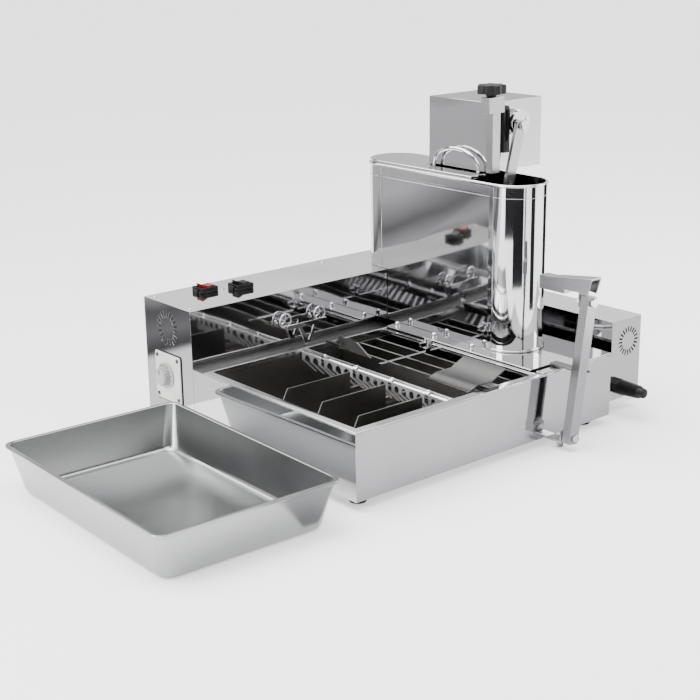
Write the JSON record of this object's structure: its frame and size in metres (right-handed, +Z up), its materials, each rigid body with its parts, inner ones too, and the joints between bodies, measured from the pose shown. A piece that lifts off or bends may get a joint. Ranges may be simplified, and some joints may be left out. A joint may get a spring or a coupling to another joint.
{
  "type": "donut maker",
  "caption": "Counter-top donut fryer: open oil tank with turner and pusher, batter hopper with plunger drive, control boxes and a loose catch tray.",
  "frame": {"origin": "middle of the whole model, catch tray included, on the surface it stands on", "axes": "+X runs from the discharge end to the feed end, +Y from the front to the rear control box, +Z up"},
  "size_m": [1.0286, 0.6074, 0.566],
  "materials": {
    "polished_steel": "mirror-polished stainless sheet",
    "satin_steel": "satin stainless sheet",
    "chrome": "bright turned and plated metal",
    "dark_steel": "heat-darkened tube",
    "black_plastic": "moulded black plastic",
    "red_plastic": "translucent red plastic",
    "white_plate": "white enamelled dial plate",
    "rubber": "matt black rubber",
    "motor_paint": "dark grey paint"
  },
  "bodies": {
    "base": {"fryer_casing": "polished_steel", "oil_pan": "polished_steel", "discharge_chute": "polished_steel", "lane_divider_1": "polished_steel", "lane_divider_2": "polished_steel", "lane_divider_3": "polished_steel", "cross_bar": "polished_steel", "rear_housing": "polished_steel", "right_housing": "polished_steel", "hopper_shell": "polished_steel", "drive_box_shell": "polished_steel", "deck_plate": "satin_steel", "guide_plate": "satin_steel", "guide_flap": "satin_steel", "rear_cover": "satin_steel", "right_cover": "satin_steel", "link_bracket": "satin_steel", "nozzle_plate": "satin_steel", "support_column": "satin_steel", "adjusting_post": "satin_steel", "arm_bracket": "satin_steel", "wing_clamp": "chrome", "arm_pivot_bolt": "chrome", "heating_element": "dark_steel", "switch_bezel_1": "black_plastic", "switch_bezel_2": "black_plastic", "cable_gland": "black_plastic", "slotted_bar": "black_plastic", "thermostat_plate": "white_plate", "foot_1": "rubber", "foot_2": "rubber", "foot_3": "rubber", "foot_4": "rubber", "conveyor_motor": "motor_paint", "gear_motor": "motor_paint"},
    "lid": {"hopper_lid": "polished_steel", "lid_handle": "chrome"},
    "turner": {"turner_shaft": "chrome", "turner_comb_1": "polished_steel", "turner_comb_2": "polished_steel", "turner_comb_3": "polished_steel", "turner_comb_4": "polished_steel", "turner_comb_5": "polished_steel"},
    "pusher": {"pusher_frame": "polished_steel"},
    "plungers": {"plunger_set": "chrome"},
    "crank": {"crank_disc": "chrome"},
    "connecting_rod": {"connecting_rod": "satin_steel"},
    "stroke_knob": {"star_knob": "black_plastic"},
    "arm": {"rocker_arm": "satin_steel"},
    "carrier": {"carrier_link": "satin_steel", "arm_head_bolt": "chrome"},
    "dial": {"thermostat_dial": "white_plate"},
    "switch_1": {"switch_rocker_1": "red_plastic"},
    "switch_2": {"switch_rocker_2": "black_plastic"},
    "left_fan": {"left_fan": "black_plastic"},
    "right_fan": {"right_fan": "black_plastic"},
    "ring_left": {"crank_ring_left": "chrome"},
    "ring_right": {"crank_ring_right": "chrome"},
    "coupling_bar": {"coupling_rod": "chrome"},
    "tray": {"catch_tray": "satin_steel"}
  },
  "joints": [
    {"name": "lid_lift", "type": "slide", "parent": "base", "child": "lid", "axis": [0, 0, 1], "range_m": [0, 0.1]},
    {"name": "turner_swing", "type": "hinge", "parent": "base", "child": "turner", "pos_m": [0.0451, -0.0522, 0.118], "axis": [0, -1, 0], "range_deg": [0, 225]},
    {"name": "arm_rock", "type": "hinge", "parent": "base", "child": "arm", "pos_m": [0.2621, -0.2897, 0.022], "axis": [0, 1, 0], "range_deg": [-20, 0]},
    {"name": "carrier_level", "type": "hinge", "parent": "arm", "child": "carrier", "pos_m": [0.2951, -0.2897, 0.243], "axis": [0, 1, 0], "range_deg": [-1, 21]},
    {"name": "pusher_step", "type": "slide", "parent": "base", "child": "pusher", "axis": [1, 0, 0], "range_m": [-0.0376, 0.001]},
    {"name": "plunger_stroke", "type": "slide", "parent": "base", "child": "plungers", "axis": [0, 0, 1], "range_m": [-0.01, 0.01]},
    {"name": "crank_spin", "type": "hinge", "parent": "base", "child": "crank", "pos_m": [0.3731, -0.0597, 0.497], "axis": [0, 1, 0], "continuous": true},
    {"name": "rod_swivel", "type": "hinge", "parent": "crank", "child": "connecting_rod", "pos_m": [0.3636, -0.0697, 0.494], "axis": [0, 1, 0], "continuous": true},
    {"name": "knob_turn", "type": "hinge", "parent": "base", "child": "stroke_knob", "pos_m": [0.3061, -0.0577, 0.552], "axis": [0, 0, 1], "range_deg": [-360, 360]},
    {"name": "dial_turn", "type": "hinge", "parent": "base", "child": "dial", "pos_m": [-0.1699, 0.2413, 0.0935], "axis": [1, 0, 0], "range_deg": [0, 270]},
    {"name": "switch_1_rock", "type": "hinge", "parent": "base", "child": "switch_1", "pos_m": [-0.0629, 0.2603, 0.2273], "axis": [0, 1, 0], "range_deg": [-14, 0]},
    {"name": "switch_2_rock", "type": "hinge", "parent": "base", "child": "switch_2", "pos_m": [-0.0049, 0.2363, 0.2273], "axis": [0, 1, 0], "range_deg": [-14, 0]},
    {"name": "left_fan_spin", "type": "hinge", "parent": "base", "child": "left_fan", "pos_m": [-0.1439, 0.2342, 0.1773], "axis": [1, 0, 0], "continuous": true},
    {"name": "right_fan_spin", "type": "hinge", "parent": "base", "child": "right_fan", "pos_m": [0.4815, -0.209, 0.1267], "axis": [0, 1, 0], "continuous": true},
    {"name": "ring_left_spin", "type": "hinge", "parent": "base", "child": "ring_left", "pos_m": [0.0281, 0.1543, 0.171], "axis": [0, 1, 0], "continuous": true},
    {"name": "ring_right_spin", "type": "hinge", "parent": "base", "child": "ring_right", "pos_m": [0.1031, 0.1543, 0.171], "axis": [0, 1, 0], "continuous": true},
    {"name": "coupling_swivel", "type": "hinge", "parent": "ring_left", "child": "coupling_bar", "pos_m": [0.0281, 0.1543, 0.1615], "axis": [0, 1, 0], "continuous": true},
    {"name": "tray_pull", "type": "slide", "parent": "base", "child": "tray", "axis": [-1, 0, 0], "range_m": [0, 0.15]}
  ],
  "couplings": [
    {"joint": "carrier_level", "follows": "arm_rock", "ratio": -1},
    {"joint": "pusher_step", "follows": "arm_rock", "m_per_rad": 0.107},
    {"joint": "rod_swivel", "follows": "crank_spin", "ratio": -1},
    {"joint": "ring_right_spin", "follows": "ring_left_spin", "ratio": 1},
    {"joint": "coupling_swivel", "follows": "ring_left_spin", "ratio": -1}
  ]
}
